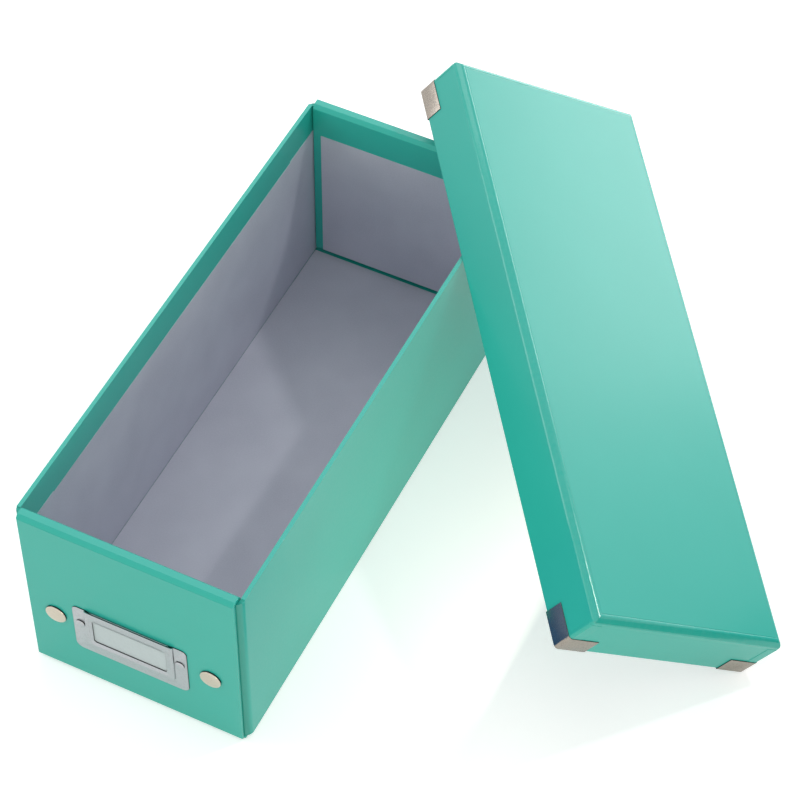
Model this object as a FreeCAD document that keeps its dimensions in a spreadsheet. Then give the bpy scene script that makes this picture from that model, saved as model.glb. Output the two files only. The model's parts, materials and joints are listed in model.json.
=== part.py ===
import FreeCAD, Part
import math
import os
import Sketcher
from FreeCAD import Placement, Rotation, Vector

# Lidded storage box of covered board, about 137 x 350 x 130 mm, with its lid taken off
# and leant against the right-hand wall. The origin is the middle of the underside:
# +X is the right-hand long wall, -Y the end with the label holder, +Z is up.
os.makedirs("parts", exist_ok=True)
doc = FreeCAD.newDocument("storage_box")

# Driving sizes, in millimetres and degrees
sizes = {
    # covered board and its paper folds
    "board": 2.4,
    "board_edge": 0.5,
    "paper": 0.4,
    "liner": 0.3,
    "clearance": 0.2,
    # box
    "box_width": 136.6,
    "box_length": 350.0,
    "wall_height": 129.0,
    "base_fold": 2.6,
    "corner_fold_wide": 3.3,
    "corner_fold_deep": 3.8,
    "corner_fold_round": 4.9,
    "corner_fold_drop": 0.8,
    "flap_length": 58.0,
    "flap_drop": 1.6,
    "flap_gap": 0.5,
    "tuck_gap": 0.4,
    "tuck_side_gap": 0.6,
    "tuck_depth": 122.0,
    "strip_rise": 1.2,
    "crease_run": 2.0,
    "crease_round": 3.2,
    "liner_band": 22.0,
    "tuck_liner_edge": 5.5,
    "corner_liner_wall": 30.0,
    "corner_liner_gap": 1.1,
    "corner_liner_rise": 1.0,
    # press studs through the end panels
    "stud_inset": 17.0,
    "stud_height": 51.5,
    "cap_radius": 6.4,
    "cap_crown": 4.4,
    "cap_rise": 1.3,
    "cap_rim": 0.5,
    "post_radius": 1.9,
    "socket_radius": 5.2,
    "socket_seat": 1.6,
    "socket_wall": 0.4,
    "knob_radius": 2.7,
    "knob_waist": 2.3,
    "knob_flange": 4.4,
    "flange_thick": 0.4,
    "eyelet_radius": 4.8,
    "washer_thick": 0.3,
    # label holder, its rivets and card
    "holder_shift": -1.5,
    "holder_bottom": 29.0,
    "holder_width": 70.8,
    "holder_height": 38.0,
    "holder_corner": 4.5,
    "holder_sheet": 0.6,
    "pocket_width": 54.6,
    "pocket_bottom": 7.6,
    "pocket_depth": 1.2,
    "pocket_round": 0.8,
    "window_width": 45.4,
    "window_height": 18.4,
    "window_bottom": 12.5,
    "window_round": 1.2,
    "rivet_apart": 61.8,
    "rivet_up": 23.8,
    "rivet_head": 2.9,
    "rivet_crown": 1.7,
    "rivet_rise": 1.1,
    "rivet_shank": 1.3,
    "rivet_tail": 2.6,
    "rivet_tail_thick": 0.4,
    "card_thick": 0.4,
    "card_rise": 0.6,
    "card_side_gap": 0.5,
    # lid
    "lid_width": 143.0,
    "lid_length": 360.0,
    "lid_height": 34.0,
    "lid_fold": 2.6,
    "lid_liner_edge": 4.0,
    "corner_leg": 21.0,
    "corner_height": 12.0,
    "corner_sheet": 0.5,
    "corner_lip": 1.8,
    "corner_bend": 1.4,
    # how the lid leans: heading and rise of its long axis, where the wall's length and
    # the lid's rim meet, and how closely its roll is found
    "lean_heading_angle": 37.5,
    "lean_rise_angle": 11.5,
    "lean_contact": 97.0,
    "lean_along": 63.95,
    "lean_step_angle": 0.00001,
}

sheet = doc.addObject("Spreadsheet::Sheet", "sizes")
for row, (alias, size) in enumerate(sizes.items(), start=1):
    sheet.set("A%d" % row, alias)
    sheet.set("B%d" % row, str(size))
    sheet.setAlias("B%d" % row, alias)
doc.recompute()

# Heights, depths and edges that several pieces share, as expressions of the driving sizes
half_width = "sizes.box_width / 2"
half_length = "sizes.box_length / 2"
strip_top = "(sizes.wall_height + sizes.strip_rise)"
crease_drop = "(sizes.board + sizes.clearance)"
panel_top = "(%s - %s)" % (strip_top, crease_drop)
panel_half = "(sizes.box_width / 2 - sizes.corner_fold_wide)"
panel_back = "(sizes.box_length / 2 - sizes.board)"
flap_front = "(sizes.box_length / 2 - sizes.board - sizes.flap_gap)"
flap_back = "(%s - sizes.board)" % flap_front
tuck_front = "(%s - sizes.tuck_gap)" % flap_back
tuck_back = "(%s - sizes.board)" % tuck_front
tuck_top = "(%s - %s)" % (strip_top, crease_drop)
tuck_half = "(sizes.box_width / 2 - sizes.board - sizes.tuck_side_gap)"
wall_end = "(%s - sizes.corner_fold_deep)" % flap_front
wall_inside = "(sizes.box_width / 2 - sizes.board)"
flap_bottom = "(sizes.board + 2 * sizes.clearance)"
liner_top = "(sizes.wall_height - sizes.liner_band)"
stud_across = "(%s - sizes.stud_inset)" % panel_half


# The number that an expression of the driving sizes comes to
def number(expression):
    return float(sheet.evalExpression(expression))


# Numbered name for the features inside one body
def feature_name(body, kind):
    return "%s_%s_%d" % (body.Name, kind, len(body.Group))


# A sketch on one of the body's own origin planes, moved along the plane's normal
def plane_sketch(body, plane, along_normal, shift=("0", "0")):
    sketch = body.newObject("Sketcher::SketchObject", feature_name(body, "outline"))
    for datum in body.Origin.OriginFeatures:
        if datum.Role == plane:
            sketch.AttachmentSupport = (datum, [""])
    sketch.MapMode = "FlatFace"
    sketch.setExpression("AttachmentOffset.Base.x", shift[0])
    sketch.setExpression("AttachmentOffset.Base.y", shift[1])
    sketch.setExpression("AttachmentOffset.Base.z", along_normal)
    return sketch


# Binds a dimension of the sketch to an expression
def bind(sketch, index, expression):
    sketch.setExpression("Constraints[%d]" % index, expression)


# Centre of the arc of one radius between two points: turn is 1 for counterclockwise
def arc_centre(start, end, radius, turn):
    chord = end - start
    across = Vector(-chord.y, chord.x, 0).normalize()
    rise = math.sqrt(max(radius ** 2 - (chord.Length / 2) ** 2, 0.0))
    return start + chord * 0.5 + across * (rise * turn)


# Closed outline through corners given as (x, y) expressions. A corner can carry
# (radius, turn) as well: then an arc leads from it to the next corner.
def add_outline(sketch, corners):
    points = [Vector(number(corner[0]), number(corner[1]), 0) for corner in corners]
    first = sketch.GeometryCount
    ends = []
    for index, corner in enumerate(corners):
        start = points[index]
        end = points[(index + 1) % len(points)]
        if len(corner) == 2:
            sketch.addGeometry(Part.LineSegment(start, end))
            ends.append((1, 2))
            continue
        radius, turn = corner[2]
        centre = arc_centre(start, end, number(radius), turn)
        circle = Part.Circle(centre, Vector(0, 0, 1), number(radius))
        low, high = (start, end) if turn > 0 else (end, start)
        from_angle = math.atan2(low.y - centre.y, low.x - centre.x)
        to_angle = math.atan2(high.y - centre.y, high.x - centre.x)
        sketch.addGeometry(Part.ArcOfCircle(circle, from_angle, to_angle))
        ends.append((1, 2) if turn > 0 else (2, 1))
    for index, corner in enumerate(corners):
        edge = first + index
        after = first + (index + 1) % len(corners)
        leave = ends[index][1]
        enter = ends[(index + 1) % len(corners)][0]
        sketch.addConstraint(Sketcher.Constraint("Coincident", edge, leave, after, enter))
        start = ends[index][0]
        for kind, where, expression in (("DistanceX", points[index].x, corner[0]),
                                        ("DistanceY", points[index].y, corner[1])):
            fixed = Sketcher.Constraint(kind, -1, 1, edge, start, where)
            bind(sketch, sketch.addConstraint(fixed), expression)
        if len(corner) == 3:
            fixed = Sketcher.Constraint("Radius", edge, number(corner[2][0]))
            bind(sketch, sketch.addConstraint(fixed), corner[2][0])


# Rectangle from its four edges, as expressions
def add_rectangle(sketch, left, bottom, right, top):
    add_outline(sketch, [(left, bottom), (right, bottom), (right, top), (left, top)])


# Rectangle with round corners of one radius
def add_round_rectangle(sketch, left, bottom, right, top, radius):
    inner_left = "%s + %s" % (left, radius)
    inner_right = "%s - %s" % (right, radius)
    inner_bottom = "%s + %s" % (bottom, radius)
    inner_top = "%s - %s" % (top, radius)
    corner = (radius, 1)
    add_outline(sketch, [(inner_left, bottom), (inner_right, bottom, corner),
                         (right, inner_bottom), (right, inner_top, corner),
                         (inner_right, top), (inner_left, top, corner),
                         (left, inner_top), (left, inner_bottom, corner)])


# Circle at a point given by expressions
def add_circle(sketch, across, up, radius):
    centre = Vector(number(across), number(up), 0)
    edge = sketch.addGeometry(Part.Circle(centre, Vector(0, 0, 1), number(radius)))
    bind(sketch, sketch.addConstraint(Sketcher.Constraint("Radius", edge, number(radius))), radius)
    for kind, where, expression in (("DistanceX", centre.x, across), ("DistanceY", centre.y, up)):
        fixed = Sketcher.Constraint(kind, -1, 1, edge, 3, where)
        bind(sketch, sketch.addConstraint(fixed), expression)


def new_body(label):
    body = doc.addObject("PartDesign::Body", label)
    body.Label = label
    return body


# Adds material from the sketch along the plane's normal
def pad(body, sketch, length):
    feature = body.newObject("PartDesign::Pad", feature_name(body, "pad"))
    feature.Profile = sketch
    feature.setExpression("Length", length)
    return feature


# Cuts from the sketch along the plane's normal, or the other way, and makes sure it cuts
def pocket(body, sketch, depth, along_normal):
    doc.recompute()
    before = body.Shape.Volume
    feature = body.newObject("PartDesign::Pocket", feature_name(body, "pocket"))
    feature.Profile = sketch
    feature.setExpression("Length", depth)
    feature.Reversed = along_normal
    doc.recompute()
    if body.Shape.Volume >= before:
        raise ValueError("%s cuts nothing" % feature.Name)
    return feature


# Rounds the edges of the last feature that the test picks
def round_edges(body, radius, picks):
    doc.recompute()
    base = body.Tip
    names = ["Edge%d" % (index + 1) for index, edge in enumerate(base.Shape.Edges) if picks(edge)]
    feature = body.newObject("PartDesign::Fillet", feature_name(body, "round"))
    feature.Base = (base, names)
    feature.setExpression("Radius", radius)
    return feature


# Bevels every edge of a board: the wrap is drawn tight over its cut edges
def bevel_edges(body, size):
    doc.recompute()
    base = body.Tip
    feature = body.newObject("PartDesign::Chamfer", feature_name(body, "bevel"))
    feature.Base = (base, ["Edge%d" % (index + 1) for index in range(len(base.Shape.Edges))])
    feature.setExpression("Size", size)
    return feature


# Solid turned about the sketch's upright axis
def revolve(body, sketch):
    feature = body.newObject("PartDesign::Revolution", feature_name(body, "turned"))
    feature.Profile = sketch
    feature.ReferenceAxis = (sketch, ["V_Axis"])
    feature.Angle = 360
    return feature


# The other end of the box, or of the lid, is the same piece turned half way round
def turned(half_turns):
    return Placement(Vector(0, 0, 0), Rotation(Vector(0, 0, 1), 180 * half_turns))


# A covered board: a rectangle with its wrapped edges bevelled all round
def board_body(label, plane, start, left, bottom, right, top):
    body = new_body(label)
    sketch = plane_sketch(body, plane, start)
    add_rectangle(sketch, left, bottom, right, top)
    pad(body, sketch, "sizes.board")
    bevel_edges(body, "sizes.board_edge")
    return body


# A paper fold between two board edges: a curved strip of the wrap. The outer arc runs
# counterclockwise from first to last, and each end steps inward by the paper's thickness.
def fold_body(label, plane, start, length, first, last, steps, radius):
    body = new_body(label)
    sketch = plane_sketch(body, plane, start)
    first_inner = ("%s + %s" % (first[0], steps[0][0]), "%s + %s" % (first[1], steps[0][1]))
    last_inner = ("%s + %s" % (last[0], steps[1][0]), "%s + %s" % (last[1], steps[1][1]))
    add_outline(sketch, [(first[0], first[1], (radius, 1)),
                         (last[0], last[1]),
                         (last_inner[0], last_inner[1], ("(%s - sizes.paper)" % radius, -1)),
                         (first_inner[0], first_inner[1])])
    pad(body, sketch, length)
    return body


# Sheet of lining paper
def sheet_body(label, plane, start, left, bottom, right, top):
    body = new_body(label)
    sketch = plane_sketch(body, plane, start)
    add_rectangle(sketch, left, bottom, right, top)
    pad(body, sketch, "sizes.liner")
    return body


# Copies of one piece mirrored across the box, kept as separate solids of one sub-part
def mirrored_group(label, source, normals):
    pieces = [source]
    for normal in normals:
        for piece in list(pieces):
            copy = doc.addObject("Part::Mirroring", "%s_copy_%d" % (label, len(pieces)))
            copy.Source = piece
            copy.Normal = normal
            pieces.append(copy)
    group = doc.addObject("Part::Compound", label)
    group.Label = label
    group.Links = pieces
    return group


sub_parts = []


# Base board, with the paper folds that carry the four sides
def make_base():
    edge_x = "(%s - sizes.base_fold)" % half_width
    edge_y = "(%s - sizes.base_fold)" % half_length
    sub_parts.append(board_body("base_board", "XY_Plane", "0",
                                "-" + edge_x, "-" + edge_y, edge_x, edge_y))
    for name, half_turns in (("right", 0), ("left", 1)):
        fold = fold_body(name + "_base_fold", "XZ_Plane", "-" + wall_end, "2 * " + wall_end,
                         (edge_x, "0"), (half_width, "sizes.base_fold"),
                         (("0", "sizes.paper"), ("-sizes.paper", "0")), "sizes.base_fold")
        fold.Placement = turned(half_turns)
        sub_parts.append(fold)
    for name, half_turns in (("rear", 0), ("front", 1)):
        fold = fold_body(name + "_base_fold", "YZ_Plane", "-" + panel_half, "2 * " + panel_half,
                         (edge_y, "0"), (half_length, "sizes.base_fold"),
                         (("0", "sizes.paper"), ("-sizes.paper", "0")), "sizes.base_fold")
        fold.Placement = turned(half_turns)
        sub_parts.append(fold)


# Long walls with the paper that lines them below the turned-in wrap
def make_walls():
    for name, half_turns in (("right", 0), ("left", 1)):
        wall = board_body(name + "_wall", "YZ_Plane", wall_inside,
                          "-" + wall_end, "sizes.base_fold", wall_end, "sizes.wall_height")
        wall.Placement = turned(half_turns)
        sub_parts.append(wall)
        reach = "(%s - sizes.corner_liner_wall)" % wall_end
        lining = sheet_body(name + "_wall_liner", "YZ_Plane", "%s - sizes.liner" % wall_inside,
                            "-" + reach, "sizes.board + sizes.clearance", reach, liner_top)
        lining.Placement = turned(half_turns)
        sub_parts.append(lining)
    edge_x = "(%s - sizes.liner - sizes.clearance)" % wall_inside
    edge_y = "(%s - sizes.clearance)" % tuck_back
    sub_parts.append(sheet_body("base_liner", "XY_Plane", "sizes.board",
                                "-" + edge_x, "-" + edge_y, edge_x, edge_y))


# One flap that turns in from a long wall behind an end panel, the paper fold at the
# corner and the lining strip inside it. side is 1 at the right of the front end.
def make_corner(name, side, half_turns):
    sign = "" if side > 0 else "-"
    hinge = "%s%s" % (sign, panel_half)
    free = "%s(%s - sizes.flap_length)" % (sign, panel_half)
    edges = (free, hinge) if side > 0 else (hinge, free)
    flap_top = "(sizes.wall_height - sizes.flap_drop)"
    flap = new_body(name + "_flap")
    sketch = plane_sketch(flap, "XZ_Plane", flap_back)
    add_rectangle(sketch, edges[0], flap_bottom, edges[1], flap_top)
    pad(flap, sketch, "sizes.board")
    bevel_edges(flap, "sizes.board_edge")
    hole = plane_sketch(flap, "XZ_Plane", flap_back)
    add_circle(hole, sign + stud_across, "sizes.stud_height",
               "sizes.post_radius + sizes.clearance / 2")
    pocket(flap, hole, "sizes.board", True)
    flap.Placement = turned(half_turns)
    sub_parts.append(flap)

    # the fold runs from the flap's outer face round to the wall's outer face
    fold_top = "(sizes.wall_height - sizes.corner_fold_drop)"
    at_flap = (hinge, "-" + flap_front)
    at_wall = ("%s%s" % (sign, half_width), "-" + wall_end)
    into_flap = ("0", "sizes.paper")
    into_wall = ("-sizes.paper" if side > 0 else "sizes.paper", "0")
    ends = (at_flap, at_wall) if side > 0 else (at_wall, at_flap)
    steps = (into_flap, into_wall) if side > 0 else (into_wall, into_flap)
    fold = fold_body(name + "_fold", "XY_Plane", flap_bottom, "%s - %s" % (fold_top, flap_bottom),
                     ends[0], ends[1], steps, "sizes.corner_fold_round")
    fold.Placement = turned(half_turns)
    sub_parts.append(fold)

    # the lining strip lies on the wall's inner face and turns onto the flap's
    strip = new_body(name + "_corner_liner")
    sketch = plane_sketch(strip, "XY_Plane", flap_bottom)
    outer_x = "%s%s" % (sign, wall_inside)
    inner_x = "%s(%s - sizes.liner)" % (sign, wall_inside)
    flap_x = "%s(%s + sizes.eyelet_radius + sizes.corner_liner_gap)" % (sign, stud_across)
    outer_y = "-" + flap_back
    inner_y = "-(%s - sizes.liner)" % flap_back
    wall_y = "-(%s - sizes.corner_liner_wall)" % wall_end
    outline = [(flap_x, outer_y), (outer_x, outer_y), (outer_x, wall_y),
               (inner_x, wall_y), (inner_x, inner_y), (flap_x, inner_y)]
    add_outline(sketch, outline if side > 0 else outline[::-1])
    pad(strip, sketch, "%s + sizes.corner_liner_rise - %s" % (liner_top, flap_bottom))
    strip.Placement = turned(half_turns)
    sub_parts.append(strip)


# Outer end panel, drilled for the press studs, and at the front for the label holder
def make_end_panel(name, half_turns):
    panel = board_body(name + "_panel", "XZ_Plane", panel_back,
                       "-" + panel_half, "sizes.base_fold", panel_half, panel_top)
    for sign in ("", "-"):
        across = sign + stud_across
        hole = plane_sketch(panel, "XZ_Plane", panel_back)
        add_circle(hole, across, "sizes.stud_height", "sizes.post_radius + sizes.clearance / 2")
        pocket(panel, hole, "sizes.board", True)
        seat = plane_sketch(panel, "XZ_Plane", panel_back)
        add_circle(seat, across, "sizes.stud_height", "sizes.socket_radius + sizes.clearance / 2")
        pocket(panel, seat, "sizes.socket_seat", True)
    if name == "front":
        for sign in ("+", "-"):
            across = "sizes.holder_shift %s sizes.rivet_apart / 2" % sign
            up = "sizes.holder_bottom + sizes.rivet_up"
            hole = plane_sketch(panel, "XZ_Plane", panel_back)
            add_circle(hole, across, up, "sizes.rivet_shank + sizes.clearance / 2")
            pocket(panel, hole, "sizes.board", True)
    panel.Placement = turned(half_turns)
    sub_parts.append(panel)


# The end panel's top folds over the flaps: a narrow strip on top and a panel tucked inside
def make_fold_over(name, half_turns):
    strip_front = "(%s - sizes.crease_run)" % half_length
    strip_back = "(%s + sizes.crease_run)" % tuck_back
    strip_low = "(%s - sizes.board)" % strip_top
    strip = board_body(name + "_top_strip", "XY_Plane", strip_low,
                       "-" + panel_half, "-" + strip_front, panel_half, "-" + strip_back)
    tuck_bottom = "(%s - sizes.tuck_depth)" % tuck_top
    tuck = board_body(name + "_tuck_panel", "XZ_Plane", tuck_back,
                      "-" + tuck_half, tuck_bottom, tuck_half, tuck_top)
    lining = sheet_body(name + "_tuck_liner", "XZ_Plane", "%s - sizes.liner" % tuck_back,
                        "-(%s - sizes.tuck_liner_edge)" % tuck_half,
                        "%s + sizes.liner" % tuck_bottom,
                        "%s - sizes.tuck_liner_edge" % tuck_half, liner_top)
    paper_down = ("0", "-sizes.paper")
    outer = fold_body(name + "_outer_crease", "YZ_Plane", "-" + panel_half, "2 * " + panel_half,
                      ("-" + strip_front, strip_top), ("-" + half_length, panel_top),
                      (paper_down, ("sizes.paper", "0")), "sizes.crease_round")
    inner = fold_body(name + "_inner_crease", "YZ_Plane", "-" + tuck_half, "2 * " + tuck_half,
                      ("-" + tuck_back, tuck_top), ("-" + strip_back, strip_top),
                      (("-sizes.paper", "0"), paper_down), "sizes.crease_round")
    for piece in (strip, tuck, lining, outer, inner):
        piece.Placement = turned(half_turns)
        sub_parts.append(piece)


# Half section of a turned piece: corners are (radius, distance behind the panel's face)
def turned_body(label, across, up, corners):
    body = new_body(label)
    sketch = plane_sketch(body, "XY_Plane", up, (across, "-" + half_length))
    add_outline(sketch, corners)
    revolve(body, sketch)
    return body


# Press studs: cap and socket hold the end panel, knob and eyelet hold the flap behind it
def make_press_studs():
    across = stud_across
    up = "sizes.stud_height"
    everywhere = (Vector(1, 0, 0), Vector(0, 1, 0))
    seat = "(sizes.board - sizes.socket_seat)"
    web = "(%s + sizes.socket_wall)" % seat
    cap = turned_body("press_stud_cap", across, up,
                      [("0", "-sizes.cap_rise"),
                       ("sizes.cap_crown", "-sizes.cap_rise"),
                       ("sizes.cap_radius", "-sizes.cap_rim"),
                       ("sizes.cap_radius", "0"),
                       ("sizes.post_radius", "0"),
                       ("sizes.post_radius", web),
                       ("0", web)])
    sub_parts.append(mirrored_group("press_stud_caps", cap, everywhere))

    mouth = "(sizes.board - sizes.clearance / 2)"
    cup = "(sizes.knob_radius + sizes.clearance)"
    socket = turned_body("press_stud_socket", across, up,
                         [("sizes.post_radius", seat),
                          ("sizes.socket_radius", seat),
                          ("sizes.socket_radius", mouth),
                          (cup, mouth),
                          (cup, web),
                          ("sizes.post_radius", web)])
    sub_parts.append(mirrored_group("press_stud_sockets", socket, everywhere))

    nose = "(%s + sizes.clearance)" % web
    flange_back = "(sizes.board + sizes.flap_gap)"
    flange_front = "(%s - sizes.flange_thick)" % flange_back
    flap_inside = "(%s + sizes.board)" % flange_back
    washer_face = "(%s + sizes.washer_thick)" % flap_inside
    knob = turned_body("press_stud_knob", across, up,
                       [("0", nose),
                        ("sizes.knob_waist", nose),
                        ("sizes.knob_radius", flange_front),
                        ("sizes.knob_flange", flange_front),
                        ("sizes.knob_flange", flange_back),
                        ("0", flange_back)])
    sub_parts.append(mirrored_group("press_stud_knobs", knob, everywhere))

    eyelet = turned_body("press_stud_eyelet", across, up,
                         [("0", flange_back),
                          ("sizes.post_radius", flange_back),
                          ("sizes.post_radius", flap_inside),
                          ("sizes.eyelet_radius", flap_inside),
                          ("sizes.eyelet_radius", washer_face),
                          ("0", washer_face)])
    sub_parts.append(mirrored_group("press_stud_eyelets", eyelet, everywhere))


# Pressed label holder: a plate on the front panel with a raised pocket, open at its top,
# and a window. The two ears beside the pocket take the rivets.
def make_label_holder():
    left = "(sizes.holder_shift - sizes.holder_width / 2)"
    right = "(sizes.holder_shift + sizes.holder_width / 2)"
    low = "sizes.holder_bottom"
    high = "(sizes.holder_bottom + sizes.holder_height)"
    pocket_left = "(sizes.holder_shift - sizes.pocket_width / 2)"
    pocket_right = "(sizes.holder_shift + sizes.pocket_width / 2)"
    pocket_low = "(sizes.holder_bottom + sizes.pocket_bottom)"
    holder = new_body("label_holder")
    plate = plane_sketch(holder, "XZ_Plane", half_length)
    add_round_rectangle(plate, left, low, right, high, "sizes.holder_corner")
    pad(holder, plate, "sizes.holder_sheet")
    raised = plane_sketch(holder, "XZ_Plane", half_length)
    add_rectangle(raised, pocket_left, pocket_low, pocket_right, high)
    pad(holder, raised, "sizes.pocket_depth + sizes.holder_sheet")
    front = -number("sizes.box_length / 2 + sizes.pocket_depth + sizes.holder_sheet")
    top = number(high)
    near = number("sizes.paper") / 2

    # the pressed edges of the pocket are soft, its cut top edge is sharp
    def pressed(edge):
        box = edge.BoundBox
        on_front = abs(box.YMin - front) < near and abs(box.YMax - front) < near
        return on_front and not (abs(box.ZMin - top) < near and abs(box.ZMax - top) < near)

    round_edges(holder, "sizes.pocket_round", pressed)
    room = plane_sketch(holder, "XZ_Plane", half_length)
    add_rectangle(room, "%s + sizes.holder_sheet" % pocket_left,
                  "%s + sizes.holder_sheet" % pocket_low,
                  "%s - sizes.holder_sheet" % pocket_right, "%s + sizes.holder_sheet" % high)
    pocket(holder, room, "sizes.pocket_depth", True)
    window = plane_sketch(holder, "XZ_Plane", half_length)
    add_round_rectangle(window, "(sizes.holder_shift - sizes.window_width / 2)",
                        "(sizes.holder_bottom + sizes.window_bottom)",
                        "(sizes.holder_shift + sizes.window_width / 2)",
                        "(sizes.holder_bottom + sizes.window_bottom + sizes.window_height)",
                        "sizes.window_round")
    pocket(holder, window, "2 * (sizes.pocket_depth + sizes.holder_sheet)", True)
    for sign in ("+", "-"):
        hole = plane_sketch(holder, "XZ_Plane", half_length)
        add_circle(hole, "sizes.holder_shift %s sizes.rivet_apart / 2" % sign,
                   "sizes.holder_bottom + sizes.rivet_up", "sizes.rivet_shank + sizes.clearance / 2")
        pocket(holder, hole, "sizes.holder_sheet", True)
    sub_parts.append(holder)

    card = new_body("label_card")
    gap = "(sizes.holder_sheet + sizes.card_side_gap)"
    sketch = plane_sketch(card, "XZ_Plane", "%s + (sizes.pocket_depth - sizes.card_thick) / 2"
                          % half_length)
    add_rectangle(sketch, "%s + %s" % (pocket_left, gap),
                  "%s + sizes.holder_sheet + sizes.clearance" % pocket_low,
                  "%s - %s" % (pocket_right, gap), "%s - sizes.card_rise" % high)
    pad(card, sketch, "sizes.card_thick")
    sub_parts.append(card)


# Two rivets through the ears of the label holder and the front panel
def make_rivets():
    up = "sizes.holder_bottom + sizes.rivet_up"
    face = "-sizes.holder_sheet"
    tail = "(sizes.board + sizes.rivet_tail_thick)"
    rivets = []
    for name, sign in (("right", "+"), ("left", "-")):
        across = "sizes.holder_shift %s sizes.rivet_apart / 2" % sign
        rivets.append(turned_body("rivet_" + name, across, up,
                                  [("0", "%s - sizes.rivet_rise" % face),
                                   ("sizes.rivet_crown", "%s - sizes.rivet_rise" % face),
                                   ("sizes.rivet_head", face),
                                   ("sizes.rivet_shank", face),
                                   ("sizes.rivet_shank", "sizes.board"),
                                   ("sizes.rivet_tail", "sizes.board"),
                                   ("sizes.rivet_tail", tail),
                                   ("0", tail)]))
    group = doc.addObject("Part::Compound", "label_holder_rivets")
    group.Label = "label_holder_rivets"
    group.Links = rivets
    sub_parts.append(group)


# How the lid leans: its rim lies on the right-hand wall's top edge and its lowest metal
# corner stands on the floor. The lid's own frame has its origin in the middle of its top.
# Its roll about its long axis is the one that brings the corner down to the floor.
def lid_pose():
    skin = number("sizes.corner_sheet")
    bend = number("sizes.corner_bend")
    foot = Vector(number("sizes.lid_width / 2") + skin - bend,
                  bend - skin - number("sizes.lid_length / 2"),
                  -number("sizes.lid_height") - skin)
    rest = Vector(number(half_width), number("sizes.lean_contact"), number("sizes.wall_height"))
    rim = Vector(-number("sizes.lid_width / 2 - sizes.board"), number("sizes.lean_along"),
                 -number("sizes.lid_height"))

    def placed(roll_angle):
        heading = Rotation(Vector(0, 0, 1), number("sizes.lean_heading_angle"))
        rise = Rotation(Vector(1, 0, 0), number("sizes.lean_rise_angle"))
        lean = heading.multiply(rise).multiply(Rotation(Vector(0, 1, 0), roll_angle))
        return Placement(rest - lean.multVec(rim), lean)

    def foot_height(pose):
        across = pose.Rotation.multVec(Vector(1, 0, 0)).z
        along = pose.Rotation.multVec(Vector(0, 1, 0)).z
        return pose.multVec(foot).z - bend * math.hypot(across, along)

    flat, steep = 0.0, 90.0
    while steep - flat > number("sizes.lean_step_angle"):
        middle = (flat + steep) / 2
        if foot_height(placed(middle)) > 0:
            flat = middle
        else:
            steep = middle
    pose = placed(flat)
    print("lid rolls %.2f degrees" % flat)
    return pose


# Lid: a top board and four skirts under one wrap, with metal corners at the rim
def make_lid():
    pose = lid_pose()
    half_x = "sizes.lid_width / 2"
    half_y = "sizes.lid_length / 2"
    edge_x = "(%s - sizes.lid_fold)" % half_x
    edge_y = "(%s - sizes.lid_fold)" % half_y
    pieces = [board_body("lid_top_board", "XY_Plane", "-sizes.board",
                         "-" + edge_x, "-" + edge_y, edge_x, edge_y)]
    for name, half_turns in (("right", 0), ("left", 1)):
        skirt = board_body("lid_%s_skirt" % name, "YZ_Plane", "%s - sizes.board" % half_x,
                           "-" + edge_y, "-sizes.lid_height", edge_y, "-sizes.lid_fold")
        skirt.Placement = turned(half_turns)
        pieces.append(skirt)
    for name, half_turns in (("front", 0), ("rear", 1)):
        skirt = board_body("lid_%s_skirt" % name, "XZ_Plane", "%s - sizes.board" % half_y,
                           "-" + edge_x, "-sizes.lid_height", edge_x, "-sizes.lid_fold")
        skirt.Placement = turned(half_turns)
        pieces.append(skirt)
    pieces += lid_wrap_folds(half_x, half_y, edge_x, edge_y)
    inside_x = "(%s - sizes.board - sizes.lid_liner_edge)" % half_x
    inside_y = "(%s - sizes.board - sizes.lid_liner_edge)" % half_y
    pieces.append(sheet_body("lid_liner", "XY_Plane", "-sizes.board - sizes.liner",
                             "-" + inside_x, "-" + inside_y, inside_x, inside_y))
    for name, side, half_turns in (("front_right", 1, 0), ("front_left", -1, 0),
                                   ("rear_left", 1, 1), ("rear_right", -1, 1)):
        corner = lid_corner("lid_%s_corner" % name, side, half_x, half_y)
        corner.Placement = turned(half_turns)
        pieces.append(corner)
    for piece in pieces:
        piece.Placement = pose.multiply(piece.Placement)
        sub_parts.append(piece)


# The wrap's folds along the lid's top edges and down its upright corners. A corner is one
# section turned a quarter round, thick inside its rounded top where the wrap is pleated.
def lid_wrap_folds(half_x, half_y, edge_x, edge_y):
    pieces = []
    paper_steps = (("-sizes.paper", "0"), ("0", "-sizes.paper"))
    for names, plane, half, edge, run in ((("right", "left"), "XZ_Plane", half_x, edge_x, edge_y),
                                          (("rear", "front"), "YZ_Plane", half_y, edge_y, edge_x)):
        for half_turns, name in enumerate(names):
            fold = fold_body("lid_%s_fold" % name, plane, "-" + run, "2 * " + run,
                             (half, "-sizes.lid_fold"), (edge, "0"), paper_steps,
                             "sizes.lid_fold")
            fold.Placement = turned(half_turns)
            pieces.append(fold)
    inside = "(sizes.lid_fold - sizes.paper)"
    corner = new_body("lid_corner_fold")
    section = plane_sketch(corner, "XZ_Plane", "-" + edge_y, (edge_x, "0"))
    add_outline(section, [("0", "0", ("sizes.lid_fold", -1)),
                          ("sizes.lid_fold", "-sizes.lid_fold"),
                          ("sizes.lid_fold", "-sizes.lid_height"),
                          (inside, "-sizes.lid_height"),
                          (inside, "-sizes.lid_fold"),
                          ("0", "-sizes.paper")])
    quarter = revolve(corner, section)
    quarter.Angle = 90
    pieces.append(mirrored_group("lid_corner_folds", corner, (Vector(1, 0, 0), Vector(0, 1, 0))))
    return pieces


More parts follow.
